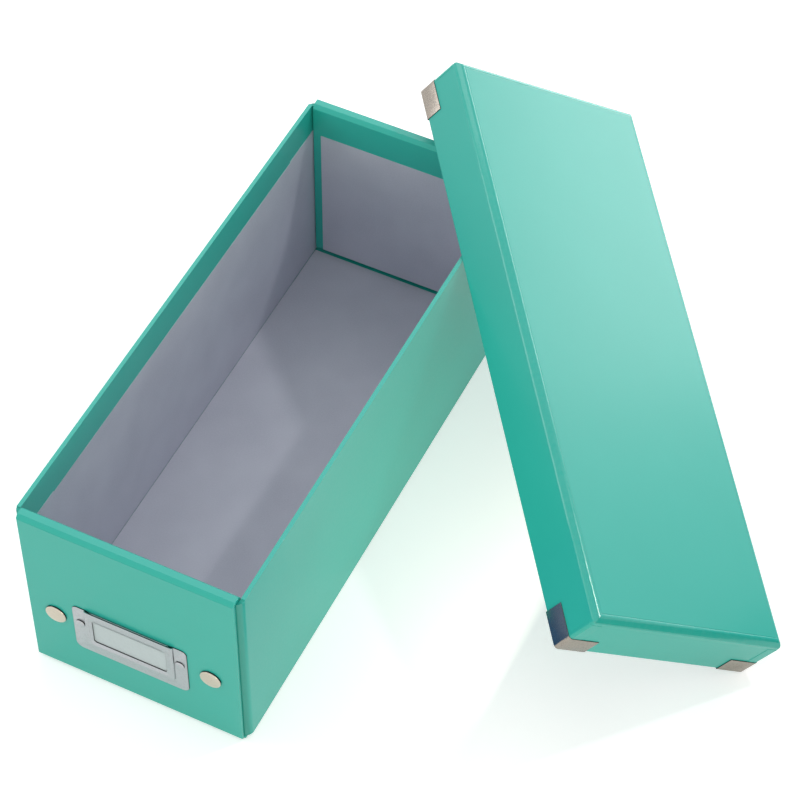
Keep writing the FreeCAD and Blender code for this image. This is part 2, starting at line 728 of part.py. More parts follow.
# Metal corner: an angle of sheet round the skirts' corner with a lip turned in under the rim
def lid_corner(label, side, half_x, half_y):
    sign = "" if side > 0 else "-"
    away = "(%s + sizes.corner_sheet)" % half_x
    ahead = "(%s + sizes.corner_sheet)" % half_y
    turn = side
    body = new_body(label)

    # angle between an outer and an inner line, both bent at the corner
    def angle_outline(inner, outer_bend, inner_bend):
        leg_x = "%s - sizes.corner_leg" % half_x
        leg_y = "%s - sizes.corner_leg" % half_y
        inner_x = "(%s - %s)" % (away, inner)
        inner_y = "(%s - %s)" % (ahead, inner)
        corners = [(leg_x, ahead), ("%s - %s" % (away, outer_bend), ahead, (outer_bend, turn)),
                   (away, "%s - %s" % (ahead, outer_bend)), (away, leg_y), (inner_x, leg_y),
                   (inner_x, "%s - %s" % (inner_y, inner_bend), (inner_bend, -turn)),
                   ("%s - %s" % (inner_x, inner_bend), inner_y), (leg_x, inner_y)]
        placed = []
        for corner in corners:
            placed.append(("%s(%s)" % (sign, corner[0]), "-(%s)" % corner[1]) + corner[2:])
        return placed

    sheet_bend = "(sizes.corner_bend - sizes.corner_sheet)"
    bottom = plane_sketch(body, "XY_Plane", "-sizes.lid_height - sizes.corner_sheet")
    add_outline(bottom, angle_outline("sizes.corner_sheet", "sizes.corner_bend", sheet_bend))
    pad(body, bottom, "sizes.corner_height + sizes.corner_sheet")
    lip = plane_sketch(body, "XY_Plane", "-sizes.lid_height - sizes.corner_sheet")
    add_outline(lip, angle_outline("(sizes.corner_sheet + sizes.corner_lip)",
                                   "sizes.corner_bend", "sizes.corner_sheet"))
    pad(body, lip, "sizes.corner_sheet")
    return body


make_base()
make_walls()
for corner_name, corner_side, corner_turn in (("front_right", 1, 0), ("front_left", -1, 0),
                                              ("rear_left", 1, 1), ("rear_right", -1, 1)):
    make_corner(corner_name, corner_side, corner_turn)
for end_name, end_turn in (("front", 0), ("rear", 1)):
    make_end_panel(end_name, end_turn)
    make_fold_over(end_name, end_turn)
make_press_studs()
make_label_holder()
make_rivets()
make_lid()
doc.recompute()

# Nothing is written unless every object and every sub-part is sound
for item in doc.Objects:
    if "Invalid" in item.State or "Error" in item.State:
        raise ValueError("%s is %s" % (item.Label, item.State))
for sub_part in sub_parts:
    if sub_part.Shape.isNull() or not sub_part.Shape.isValid():
        raise ValueError("%s has no sound shape" % sub_part.Label)
for sub_part in sub_parts:
    sub_part.Shape.exportStep("parts/%s.step" % sub_part.Label)
print("%d sub-parts written" % len(sub_parts))
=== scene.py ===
import json
import math

import bmesh
import bpy
from mathutils import Matrix, Vector


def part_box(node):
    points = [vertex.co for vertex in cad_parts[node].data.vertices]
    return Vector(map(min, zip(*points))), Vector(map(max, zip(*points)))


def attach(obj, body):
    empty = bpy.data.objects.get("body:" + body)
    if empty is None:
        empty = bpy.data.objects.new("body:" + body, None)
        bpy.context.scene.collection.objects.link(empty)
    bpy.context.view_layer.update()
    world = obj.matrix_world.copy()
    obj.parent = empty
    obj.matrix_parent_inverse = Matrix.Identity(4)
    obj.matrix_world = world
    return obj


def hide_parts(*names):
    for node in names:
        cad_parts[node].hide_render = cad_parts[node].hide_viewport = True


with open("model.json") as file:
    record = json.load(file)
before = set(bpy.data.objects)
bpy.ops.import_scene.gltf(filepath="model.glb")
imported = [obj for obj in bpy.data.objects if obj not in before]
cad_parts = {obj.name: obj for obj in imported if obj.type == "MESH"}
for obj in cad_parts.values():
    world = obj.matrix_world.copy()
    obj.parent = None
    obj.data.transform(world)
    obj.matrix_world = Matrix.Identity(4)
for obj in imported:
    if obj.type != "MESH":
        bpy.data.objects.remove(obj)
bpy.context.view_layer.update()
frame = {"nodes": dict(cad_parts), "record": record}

nodes = frame["nodes"]

# lengths are written in millimetres and turned to metres where a mesh is made
mm = 0.001


# small helpers

def linearColour(hexText, alpha=1.0):
    parts = [int(hexText[i:i + 2], 16) / 255 for i in (1, 3, 5)]
    return [c / 12.92 if c <= 0.04045 else ((c + 0.055) / 1.055) ** 2.4 for c in parts] + [alpha]


def addNode(tree, kind, settings=None, links=None):
    node = tree.nodes.new(kind)
    for key, value in (settings or {}).items():
        if isinstance(key, str) and hasattr(node, key):
            setattr(node, key, value)
        else:
            node.inputs[key].default_value = value
    for key, source in (links or {}).items():
        tree.links.new(source, node.inputs[key])
    return node


def spanOf(*names):
    # lowest and highest corner of some CAD nodes, in millimetres
    low = [min(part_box(name)[0][axis] for name in names) / mm for axis in range(3)]
    high = [max(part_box(name)[1][axis] for name in names) / mm for axis in range(3)]
    return Vector(low), Vector(high)


def finishMesh(mesh, sharpAngle):
    work = bmesh.new()
    work.from_mesh(mesh)
    bmesh.ops.remove_doubles(work, verts=work.verts, dist=0.01 * mm)
    bmesh.ops.dissolve_degenerate(work, edges=work.edges, dist=0.001 * mm)
    bmesh.ops.recalc_face_normals(work, faces=work.faces)
    work.to_mesh(mesh)
    work.free()
    mesh.shade_smooth()
    mesh.set_sharp_from_angle(angle=math.radians(sharpAngle))


def meshPiece(name, points, faces, place=None, sharpAngle=32, shade=None):
    # shade is one value a point, kept as the attribute edgeShade
    place = place or Matrix.Identity(4)
    mesh = bpy.data.meshes.new(name)
    mesh.from_pydata([place @ Vector(p) * mm for p in points], [], faces)
    if shade is not None:
        layer = mesh.attributes.new("edgeShade", "FLOAT", "POINT")
        layer.data.foreach_set("value", shade)
    finishMesh(mesh, sharpAngle)
    piece = bpy.data.objects.new(name, mesh)
    bpy.context.scene.collection.objects.link(piece)
    return piece


def loftPiece(name, loops, place=None, sharpAngle=32, shade=None, capped=True, ring=False):
    # closed loops of the same number of points, joined in their order; ring joins last to first
    count = len(loops[0])
    points = [p for loop in loops for p in loop]
    faces = []
    for k in range(len(loops) if ring else len(loops) - 1):
        a, b = k * count, (k + 1) % len(loops) * count
        for i in range(count):
            j = (i + 1) % count
            faces.append((a + i, a + j, b + j, b + i))
    if capped and not ring:
        faces.append(tuple(range(count)))
        faces.append(tuple(range((len(loops) - 1) * count, len(loops) * count)))
    return meshPiece(name, points, faces, place, sharpAngle, shade)


def softenEdges(piece, width, segments=3, angle=35):
    # the rounded faces take the second material slot, which markFolds reads
    bevel = piece.modifiers.new("softEdges", "BEVEL")
    bevel.width = width * mm
    bevel.segments = segments
    bevel.limit_method = "ANGLE"
    bevel.angle_limit = math.radians(angle)
    bevel.harden_normals = True
    piece.data.materials.append(wrap)
    piece.data.materials.append(wrap)
    bevel.material = 1


def plainMesh(piece, sharpAngle=None):
    # the modifiers' result as the piece's own plain mesh
    depsgraph = bpy.context.evaluated_depsgraph_get()
    mesh = bpy.data.meshes.new_from_object(piece.evaluated_get(depsgraph))
    piece.modifiers.clear()
    piece.data = mesh
    if sharpAngle:
        mesh.shade_smooth()
        mesh.set_sharp_from_angle(angle=math.radians(sharpAngle))
    return piece


def markFolds(piece):
    # the mask is 1 where the paper turns an edge and 0 on the flat; the wrap paints paler wear and
    # a painted highlight there
    mesh = piece.data
    layer = mesh.attributes.new("foldWear", "FLOAT", "FACE")
    layer.data.foreach_set("value", [float(face.material_index) for face in mesh.polygons])
    mesh.polygons.foreach_set("material_index", [0] * len(mesh.polygons))
    return piece


def dress(piece, body, material, replaced=()):
    piece.data.materials.clear()
    piece.data.materials.append(material)
    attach(piece, body)
    if replaced:
        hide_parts(*replaced)
    return piece


# materials

wrapLook = {
    "colour": "#26B3A4",        # mint-teal print under a clear film
    "cloudColour": "#2DB9AA",
    "wornAndSheenColour": "#86D2C5",    # paler where the paper turns: stretched print and a painted highlight
    "cloudSize": 60.0,          # mm
    "peelSize": 1.6,            # mm, coarser than the film's own texture so that it shows
    "peelDepth": 0.010,
    "peelStrength": 0.35,
    "rippleSize": 3.2,          # mm, the small creases along a fold
    "rippleDepth": 0.035,
    "rippleStrength": 0.6,
    "wornAndSheen": 0.1,
    "wornLeast": 0.3,           # share of the wear that even the smooth stretches have
    "wornFrom": 0.35, "wornTo": 0.65,
    "tuckedColour": "#0F8072",  # painted shade in a tucked-in fold
    "tucked": 0.55,
    "roughness": 0.38,
    "roughSpread": 0.04,
    "foldRoughness": 0.14,      # the film is drawn tight and shines along a fold
    "film": 0.3,
    "filmRoughness": 0.2,
    "refraction": 1.42,
}


def makeWrap():
    # gloss-laminated art paper drawn over greyboard: even colour, soft wide highlights, a
    # faint orange peel in the film, small ripples and paler print with a painted highlight along
    # the folds, and painted shade where edgeShade marks a fold
    look = wrapLook
    material = bpy.data.materials.new("glossLaminatedPaper")
    material.use_nodes = True
    tree = material.node_tree
    shader = tree.nodes["Principled BSDF"]
    place = addNode(tree, "ShaderNodeTexCoord")
    fold = addNode(tree, "ShaderNodeAttribute", {"attribute_name": "foldWear"})
    cloud = addNode(tree, "ShaderNodeTexNoise",
                    {"Scale": 1 / (look["cloudSize"] * mm), "Detail": 3.0},
                    {"Vector": place.outputs["Object"]})
    base = addNode(tree, "ShaderNodeMix", {"data_type": "RGBA", 6: linearColour(look["colour"]),
                                           7: linearColour(look["cloudColour"])},
                   {0: cloud.outputs["Fac"]})
    ripple = addNode(tree, "ShaderNodeTexNoise",
                     {"Scale": 1 / (look["rippleSize"] * mm), "Detail": 3.0, "Roughness": 0.6},
                     {"Vector": place.outputs["Object"]})
    patchy = addNode(tree, "ShaderNodeMapRange",
                     {"From Min": look["wornFrom"], "From Max": look["wornTo"],
                      "To Min": look["wornLeast"] * look["wornAndSheen"], "To Max": look["wornAndSheen"]},
                     {"Value": ripple.outputs["Fac"]})
    amount = addNode(tree, "ShaderNodeMath", {"operation": "MULTIPLY"},
                     {0: patchy.outputs["Result"], 1: fold.outputs["Fac"]})
    # paler wear and a painted highlight along the folds
    wornAndSheen = addNode(tree, "ShaderNodeMix",
                   {"data_type": "RGBA", 7: linearColour(look["wornAndSheenColour"])},
                   {0: amount.outputs["Value"], 6: base.outputs[2]})
    # painted shade: edgeShade darkens the print in the folds
    tuck = addNode(tree, "ShaderNodeAttribute", {"attribute_name": "edgeShade"})
    foldShadeAmount = addNode(tree, "ShaderNodeMath", {"operation": "MULTIPLY", 1: look["tucked"]},
                         {0: tuck.outputs["Fac"]})
    printedAndShaded = addNode(tree, "ShaderNodeMix",
                      {"data_type": "RGBA", 7: linearColour(look["tuckedColour"])},
                      {0: foldShadeAmount.outputs["Value"], 6: wornAndSheen.outputs[2]})
    peel = addNode(tree, "ShaderNodeTexNoise",
                   {"Scale": 1 / (look["peelSize"] * mm), "Detail": 2.0},
                   {"Vector": place.outputs["Object"]})
    flatRough = addNode(tree, "ShaderNodeMapRange",
                        {"To Min": look["roughness"] - look["roughSpread"],
                         "To Max": look["roughness"] + look["roughSpread"]},
                        {"Value": peel.outputs["Fac"]})
    rough = addNode(tree, "ShaderNodeMix", {"data_type": "FLOAT", 3: look["foldRoughness"]},
                    {0: fold.outputs["Fac"], 2: flatRough.outputs["Result"]})
    folded = addNode(tree, "ShaderNodeMath", {"operation": "MULTIPLY"},
                     {0: ripple.outputs["Fac"], 1: fold.outputs["Fac"]})
    creased = addNode(tree, "ShaderNodeBump",
                      {"Strength": look["rippleStrength"], "Distance": look["rippleDepth"] * mm},
                      {"Height": folded.outputs["Value"]})
    bump = addNode(tree, "ShaderNodeBump",
                   {"Strength": look["peelStrength"], "Distance": look["peelDepth"] * mm},
                   {"Height": peel.outputs["Fac"], "Normal": creased.outputs["Normal"]})
    tree.links.new(printedAndShaded.outputs[2], shader.inputs["Base Color"])
    tree.links.new(rough.outputs[0], shader.inputs["Roughness"])
    tree.links.new(bump.outputs["Normal"], shader.inputs["Normal"])
    shader.inputs["Coat Weight"].default_value = look["film"]
    shader.inputs["Coat Roughness"].default_value = look["filmRoughness"]
    shader.inputs["IOR"].default_value = look["refraction"]
    return material


liningLook = {
    "colour": "#CACBD7",
    "fibreColour": "#BFC0CD",
    "fibreSize": 0.9,       # mm
    "fibreDepth": 0.03,     # mm
    "fibreStrength": 0.4,
    "cloudSize": 35.0,      # mm
    "feltFrom": 0.12, "feltTo": 0.4,
    "roughness": 0.72,
}


def makeLining():
    # uncoated lining paper: cool grey, matt, with a fine felt of fibres
    look = liningLook
    material = bpy.data.materials.new("uncoatedLiningPaper")
    material.use_nodes = True
    tree = material.node_tree
    shader = tree.nodes["Principled BSDF"]
    place = addNode(tree, "ShaderNodeTexCoord")
    fibre = addNode(tree, "ShaderNodeTexNoise",
                    {"Scale": 1 / (look["fibreSize"] * mm), "Detail": 5.0, "Roughness": 0.65},
                    {"Vector": place.outputs["Object"]})
    cloud = addNode(tree, "ShaderNodeTexNoise",
                    {"Scale": 1 / (look["cloudSize"] * mm), "Detail": 2.0},
                    {"Vector": place.outputs["Object"]})
    blend = addNode(tree, "ShaderNodeMath", {"operation": "MULTIPLY"},
                    {0: fibre.outputs["Fac"], 1: cloud.outputs["Fac"]})
    spread = addNode(tree, "ShaderNodeMapRange",
                     {"From Min": look["feltFrom"], "From Max": look["feltTo"]},
                     {"Value": blend.outputs["Value"]})
    base = addNode(tree, "ShaderNodeMix", {"data_type": "RGBA", 6: linearColour(look["colour"]),
                                           7: linearColour(look["fibreColour"])},
                   {0: spread.outputs["Result"]})
    bump = addNode(tree, "ShaderNodeBump",
                   {"Strength": look["fibreStrength"], "Distance": look["fibreDepth"] * mm},
                   {"Height": fibre.outputs["Fac"]})
    tree.links.new(base.outputs[2], shader.inputs["Base Color"])
    tree.links.new(bump.outputs["Normal"], shader.inputs["Normal"])
    shader.inputs["Roughness"].default_value = look["roughness"]
    return material


plateLook = {
    "edgeShadeColour": "#3C3F42",    # painted shade and painted dark reflection at cut edges, rims and a pressing's foot
    "pitColour": "#7D7A78",
    "pitSize": 1.0,             # mm, the roll's pitting, coarser than it is so that it shows
    "pitFrom": 0.48, "pitTo": 0.68,
    "pitDark": 0.6,
    "roughSpread": 0.07,
}


def makePlate(name, hexText, roughness, speckle, pitDepth):
    # nickel-plated pressed steel: a satin metal with a fine pitted roll texture, and painted
    # shade at its cut edges, rims and seams
    look = plateLook
    material = bpy.data.materials.new(name)
    material.use_nodes = True
    tree = material.node_tree
    shader = tree.nodes["Principled BSDF"]
    place = addNode(tree, "ShaderNodeTexCoord")
    pits = addNode(tree, "ShaderNodeTexNoise",
                   {"Scale": 1 / (look["pitSize"] * mm), "Detail": 4.0, "Roughness": 0.7},
                   {"Vector": place.outputs["Object"]})
    paintedEdgeShade = addNode(tree, "ShaderNodeAttribute", {"attribute_name": "edgeShade"})
    colour = addNode(tree, "ShaderNodeMix", {"data_type": "RGBA", 6: linearColour(hexText),
                                             7: linearColour(look["edgeShadeColour"])},
                     {0: paintedEdgeShade.outputs["Fac"]})
    inPit = addNode(tree, "ShaderNodeMapRange",
                    {"From Min": look["pitFrom"], "From Max": look["pitTo"],
                     "To Max": look["pitDark"] * speckle},
                    {"Value": pits.outputs["Fac"]})
    pitted = addNode(tree, "ShaderNodeMix",
                     {"data_type": "RGBA", 7: linearColour(look["pitColour"])},
                     {0: inPit.outputs["Result"], 6: colour.outputs[2]})
    rough = addNode(tree, "ShaderNodeMapRange",
                    {"To Min": roughness - look["roughSpread"],
                     "To Max": roughness + look["roughSpread"]},
                    {"Value": pits.outputs["Fac"]})
    bump = addNode(tree, "ShaderNodeBump",
                   {"Strength": speckle, "Distance": pitDepth * mm},
                   {"Height": pits.outputs["Fac"]})
    tree.links.new(pitted.outputs[2], shader.inputs["Base Color"])
    tree.links.new(rough.outputs["Result"], shader.inputs["Roughness"])
    tree.links.new(bump.outputs["Normal"], shader.inputs["Normal"])
    shader.inputs["Metallic"].default_value = 1.0
    return material


cardLook = {
    "colour": "#CAD6DA",
    "fibreColour": "#C0CCD0",
    "fibreSize": 1.4,       # mm
    "roughness": 0.5,
}


def makeCard():
    # smooth index card: near white, a little cool
    look = cardLook
    material = bpy.data.materials.new("smoothIndexCard")
    material.use_nodes = True
    tree = material.node_tree
    shader = tree.nodes["Principled BSDF"]
    place = addNode(tree, "ShaderNodeTexCoord")
    fibre = addNode(tree, "ShaderNodeTexNoise",
                    {"Scale": 1 / (look["fibreSize"] * mm), "Detail": 4.0},
                    {"Vector": place.outputs["Object"]})
    base = addNode(tree, "ShaderNodeMix", {"data_type": "RGBA", 6: linearColour(look["colour"]),
                                           7: linearColour(look["fibreColour"])},
                   {0: fibre.outputs["Fac"]})
    tree.links.new(base.outputs[2], shader.inputs["Base Color"])
    shader.inputs["Roughness"].default_value = look["roughness"]
    return material


wrap = makeWrap()
lining = makeLining()
nickel = makePlate("nickelPlatedSteel", "#C4C7CB", roughness=0.3, speckle=0.35, pitDepth=0.012)
cornerNickel = makePlate("pittedNickelCorner", "#ABA399", roughness=0.24, speckle=0.8,
                         pitDepth=0.1)
warmNickel = makePlate("warmNickelPlate", "#DACFBE", roughness=0.16, speckle=0.1, pitDepth=0.012)
card = makeCard()
slotMaterials = {"wrapped_board": wrap, "wrap_paper": wrap, "liner_paper": lining,
                 "nickel_plate": nickel, "stud_plate": warmNickel, "card_paper": card}
for part in frame["record"]["subparts"]:
    for slot in nodes[part["node"]].material_slots:
        slot.material = slotMaterials[part["material_slot"]]
print("materials made")


# what repeats

def copyTree(name, material):
    # a copy of one made piece at every point, turned by the point's own attribute
    tree = bpy.data.node_groups.new(name + "Copies", "GeometryNodeTree")
    sockets = {}
    for label, kind in (("Points", "NodeSocketGeometry"), ("Piece", "NodeSocketObject"),
                        ("Size", "NodeSocketFloat")):
        sockets[label] = tree.interface.new_socket(name=label, in_out="INPUT", socket_type=kind)
    tree.interface.new_socket(name="Copies", in_out="OUTPUT", socket_type="NodeSocketGeometry")
    given = addNode(tree, "NodeGroupInput")
    turn = addNode(tree, "GeometryNodeInputNamedAttribute",
                   {"data_type": "FLOAT_VECTOR", "Name": "turn"})
    made = addNode(tree, "GeometryNodeObjectInfo", links={"Object": given.outputs["Piece"]})
    spread = addNode(tree, "GeometryNodeInstanceOnPoints",
                     links={"Points": given.outputs["Points"],
                            "Instance": made.outputs["Geometry"],
                            "Rotation": turn.outputs["Attribute"],
                            "Scale": given.outputs["Size"]})
    real = addNode(tree, "GeometryNodeRealizeInstances", links={0: spread.outputs["Instances"]})
    painted = addNode(tree, "GeometryNodeSetMaterial", {"Material": material},
                      {"Geometry": real.outputs["Geometry"]})
    addNode(tree, "NodeGroupOutput", links={"Copies": painted.outputs["Geometry"]})
    return tree, sockets


def repeatPiece(name, source, places, material, sharpAngle=32):
    # places are (point, turn about x, y and z in degrees)
    tree, sockets = copyTree(name, material)
    mesh = bpy.data.meshes.new(name)
    mesh.from_pydata([Vector(point) * mm for point, _ in places], [], [])
    layer = mesh.attributes.new("turn", "FLOAT_VECTOR", "POINT")
    for item, (_, turn) in zip(layer.data, places):
        item.vector = [math.radians(angle) for angle in turn]
    piece = bpy.data.objects.new(name, mesh)
    bpy.context.scene.collection.objects.link(piece)
    modifier = piece.modifiers.new(name, "NODES")
    modifier.node_group = tree
    modifier[sockets["Piece"].identifier] = source
    modifier[sockets["Size"].identifier] = 1.0
    plainMesh(piece, sharpAngle)
    bpy.data.objects.remove(source)
    return piece


# the lid

lidLook = {
    "width": 143.0, "length": 360.0, "height": 34.0,
    "board": 2.4,
    "fold": 2.9,            # the paper band between the top board and a skirt
    "topRound": 2.8,        # radius of the bend at the top board and of that at the skirt
    "skirtRound": 2.4,
    "seam": 0.1,            # the top board's edge shows through as a shallow line
    "seamStep": 0.3,        # and this is a third of that line's width
    # the seam's mask value gives paler wear and a painted highlight
    "seamWearAndSheen": 0.6,
    "topReach": 14.0,       # the drawn section goes this far in over and under the top board
    "ceilingReach": 12.0,
    "corner": 1.95,
    "rimRound": 0.7,
    "innerRound": 0.5,
    "foldFacing": 0.25,     # a face is in a fold when it looks both up and out by this much
    "endFoldShade": 0.45,        # how much painted shade the folds take at the ends and along the sides
    "longFoldShade": 0.2,
    "support": 0.3,         # a loop this far beside each bend keeps the flats flat
    "heading": 37.5, "rise": 11.5, "roll": 35.4,
    "wallPoint": (68.3, 97.0, 129.0),
    "rimPoint": (-69.1, 63.95, -34.0),
}


def lidPlace():
    turn = (Matrix.Rotation(math.radians(lidLook["heading"]), 4, "Z")
            @ Matrix.Rotation(math.radians(lidLook["rise"]), 4, "X")
            @ Matrix.Rotation(math.radians(lidLook["roll"]), 4, "Y"))
    origin = Vector(lidLook["wallPoint"]) - turn @ Vector(lidLook["rimPoint"])
    return Matrix.Translation(origin) @ turn


lidMatrix = lidPlace()
lidInMetres = Matrix.Translation(lidMatrix.translation * mm) @ lidMatrix.to_3x3().to_4x4()


def roundedBend(before, corner, after, radius, steps):
    # points of a fillet of that radius at a corner of a flat outline
    corner = Vector(corner)
    toBefore = (Vector(before) - corner).normalized()
    toAfter = (Vector(after) - corner).normalized()
    half = toBefore.angle(toAfter) / 2
    centre = corner + (toBefore + toAfter).normalized() * (radius / math.sin(half))
    start = corner + toBefore * radius / math.tan(half) - centre
    end = corner + toAfter * radius / math.tan(half) - centre
    sweep = start.angle(end)
    return [centre + (start * math.sin((1 - i / steps) * sweep)
                      + end * math.sin(i / steps * sweep)) / math.sin(sweep)
            for i in range(steps + 1)]


def roundRing(halfX, halfY, radius, height, steps=5):
    radius = max(radius, 0.05)
    ring = []
    for quarter, (sx, sy) in enumerate(((1, 1), (-1, 1), (-1, -1), (1, -1))):
        for i in range(steps + 1):
            angle = math.pi / 2 * (quarter + i / steps)
            ring.append((sx * (halfX - radius) + radius * math.cos(angle),
                         sy * (halfY - radius) + radius * math.sin(angle), height))
    return ring


def makeLidTray():
    look = lidLook
    halfX, halfY = look["width"] / 2, look["length"] / 2
    fold, board, height, rim = look["fold"], look["board"], look["height"], look["rimRound"]
    # the section as (inset from the outside, height), and the radius at each of its corners
    outline = [(fold + look["topReach"], 0), (fold, 0), (0, -fold), (0, -height), (board, -height),
               (board, -board), (board + look["ceilingReach"], -board)]
    radii = [look["topRound"], look["skirtRound"], rim, rim, look["innerRound"]]
    step = look["seamStep"]
    seamAt = fold + look["topRound"] * 0.45 + step
    section = [(outline[0], 0.0), ((seamAt + 3 * step, 0), 0.0), ((seamAt + 2 * step, 0), 0.0),
               ((seamAt + step, -look["seam"]), 0.0),
               ((seamAt, -look["seam"] * 0.3), look["seamWearAndSheen"])]
    for i, radius in enumerate(radii, start=1):
        bend = roundedBend(outline[i - 1], outline[i], outline[i + 1], radius, 6)
        turned = 1.0 if i < 5 else 0.0
        into = (bend[0] - Vector(outline[i - 1])).normalized() * look["support"]
        out = (Vector(outline[i + 1]) - bend[-1]).normalized() * look["support"]
        if i > 2:
            section.append((tuple(bend[0] - into), 0.0))
        section += [(tuple(point), turned) for point in bend]
        if i > 1:
            section.append((tuple(bend[-1] + out), 0.0))
    section.append((outline[-1], 0.0))
    loops, wearAndSheen = [], []
    for (inset, z), amount in section:
        ring = roundRing(halfX - inset, halfY - inset, look["corner"] - inset, z)
        loops.append(ring)
        wearAndSheen += [amount] * len(ring)
    tray = loftPiece("lid_tray", loops, lidMatrix, 50, wearAndSheen)
    # on paper the marked edges are folds
    tray.data.attributes["edgeShade"].name = "foldWear"
    # painted shade darkens the paper in the folds, most at the two ends
    tucked = tray.data.attributes.new("edgeShade", "FLOAT", "FACE")
    flat = lidMatrix.to_3x3().transposed()
    for face in tray.data.polygons:
        facing = flat @ face.normal
        if min(max(abs(facing.x), abs(facing.y)), facing.z) > look["foldFacing"]:
            tucked.data[face.index].value = (look["endFoldShade"] if abs(facing.y) > abs(facing.x)
                                             else look["longFoldShade"])
    dress(tray, "lid", wrap,
          ("lid_top_board", "lid_right_skirt", "lid_left_skirt", "lid_front_skirt",
           "lid_rear_skirt", "lid_right_fold", "lid_left_fold", "lid_front_fold",
           "lid_rear_fold"))


lapLook = {
    "onSide": 2.4, "onEnd": 8.0,    # how far a lap reaches on a long skirt and on an end
    "thick": 0.14,
    "sunk": 0.05,                   # its underside lies this far inside the skirt
    "top": -5.2, "bottom": -33.2,
    "wearAndSheen": 0.7,
}


def makeCornerLaps():
    # at each upright corner the ends' paper is lapped round on to the long skirts
    look = lapLook
    bend, thick = lidLook["corner"], look["thick"]
    path = [((-look["onEnd"], 0), (0, 1)), ((-bend, 0), (0, 1))]
    for i in range(1, 6):
        angle = math.pi / 2 * (1 - i / 6)
        out = (math.cos(angle), math.sin(angle))
        path.append(((-bend + bend * out[0], -bend + bend * out[1]), out))
    path += [((0, -bend), (1, 0)), ((0, -look["onSide"]), (1, 0))]
    loops, wearAndSheen = [], []
    for (px, py), (ox, oy) in path:
        loops.append([(px + ox * d, py + oy * d, z) for d, z in
                      ((-look["sunk"], look["top"]), (thick, look["top"] - 0.1),
                       (thick, look["bottom"]), (-look["sunk"], look["bottom"]))])
        # the lap's bend takes the fold mask: paler wear and a painted highlight
        wearAndSheen += [look["wearAndSheen"] if 0 < ox < 1 else 0.0] * 4
    lap = loftPiece("lapSource", loops, None, 50, wearAndSheen)
    lap.data.attributes["edgeShade"].name = "foldWear"
    halfX, halfY = lidLook["width"] / 2, lidLook["length"] / 2
    mirrored = meshPiece("lapMirrored", [(-v.co.x / mm, v.co.y / mm, v.co.z / mm)
                                          for v in lap.data.vertices],
                         [tuple(reversed(f.vertices)) for f in lap.data.polygons], None, 50, wearAndSheen)
    mirrored.data.attributes["edgeShade"].name = "foldWear"
    pairs = (("lid_corner_laps", lap, 1, ("lid_corner_folds",)),
             ("lid_mirrored_laps", mirrored, -1, ()))
    for name, source, side, replaced in pairs:
        places = [((side * halfX, halfY, 0), (0, 0, 0)), ((-side * halfX, -halfY, 0), (0, 0, 180))]
        laps = repeatPiece(name, source, places, wrap, 50)
        laps.data.transform(lidInMetres)
        dress(laps, "lid", wrap, replaced)


cornerLook = {
    "leg": 21.0, "height": 12.0,
    "sheet": 0.5,
    "lip": 1.8,             # turned in under the rim
    "softEdge": 0.14,
}


def makeCornerPlates():
    # one folded sheet, made at the corner x = y = 0 with its legs along -x and -y
    look = cornerLook
    leg, sheet, lip = look["leg"], look["sheet"], look["lip"]
    bottom = -lidLook["height"]
    top = bottom + look["height"]
    soft, roll = look["softEdge"], sheet * 0.9
    # (outwards from the skirt, height, how much painted shade the metal takes there)
    section = [(0.0, top - 0.05, 1.0), (sheet - soft, top, 1.0),
               (sheet - soft * 0.3, top - soft * 0.3, 0.6), (sheet, top - soft, 0.0)]
    for i in range(6):
        angle = math.pi / 2 * i / 5
        section.append((sheet - roll + roll * math.cos(angle),
                        bottom - sheet + roll - roll * math.sin(angle), 0.0))
    section += [(-lip + soft, bottom - sheet, 0.0), (-lip, bottom - sheet + soft, 0.8),
                (-lip, bottom - 0.05, 1.0), (0.0, bottom - 0.02, 0.3)]
    bend = lidLook["corner"]
    # (point on the skirt, outwards, how far the leg's end is drawn in, shade)
    path = [((-leg, 0), (0, 1), 1.0), ((-leg, 0), (0, 1), 0.0), ((-leg + soft, 0), (0, 1), 0.0),
            ((-bend, 0), (0, 1), 0.0)]
    for i in range(1, 8):
        angle = math.pi / 2 * (1 - i / 8)
        out = (math.cos(angle), math.sin(angle))
        path.append(((-bend + bend * out[0], -bend + bend * out[1]), out, 0.0))
    path += [((0, -bend), (1, 0), 0.0), ((0, -leg + soft), (1, 0), 0.0), ((0, -leg), (1, 0), 0.0),
             ((0, -leg), (1, 0), 1.0)]
    loops, shades = [], []
    for k, ((px, py), (ox, oy), drawn) in enumerate(path):
        edge = k in (0, 1, len(path) - 2, len(path) - 1)
        loop = []
        for d, z, paintedShade in section:
            if edge and d > sheet - 1e-6:
                d = sheet - soft
            if drawn:
                d, z = min(d, 0.0) if d < 0 else 0.0, max(z, bottom - 0.05)
            loop.append((px + ox * d, py + oy * d, z))
            # the legs' ends take full painted shade
            shades.append(1.0 if edge else paintedShade)
        loops.append(loop)
    plate = loftPiece("cornerSource", loops, None, 40, shades)
    halfX, halfY = lidLook["width"] / 2, lidLook["length"] / 2
    places = [((halfX, halfY, 0), (0, 0, 0)), ((-halfX, halfY, 0), (0, 0, 90)),
              ((-halfX, -halfY, 0), (0, 0, 180)), ((halfX, -halfY, 0), (0, 0, 270))]
    plates = repeatPiece("lid_corner_plates", plate, places, cornerNickel, 40)
    plates.data.transform(lidInMetres)
    dress(plates, "lid", cornerNickel,
          ("lid_front_right_corner", "lid_front_left_corner", "lid_rear_left_corner",
           "lid_rear_right_corner"))


makeLidTray()
makeCornerLaps()
makeCornerPlates()
print("lid made")


# the box

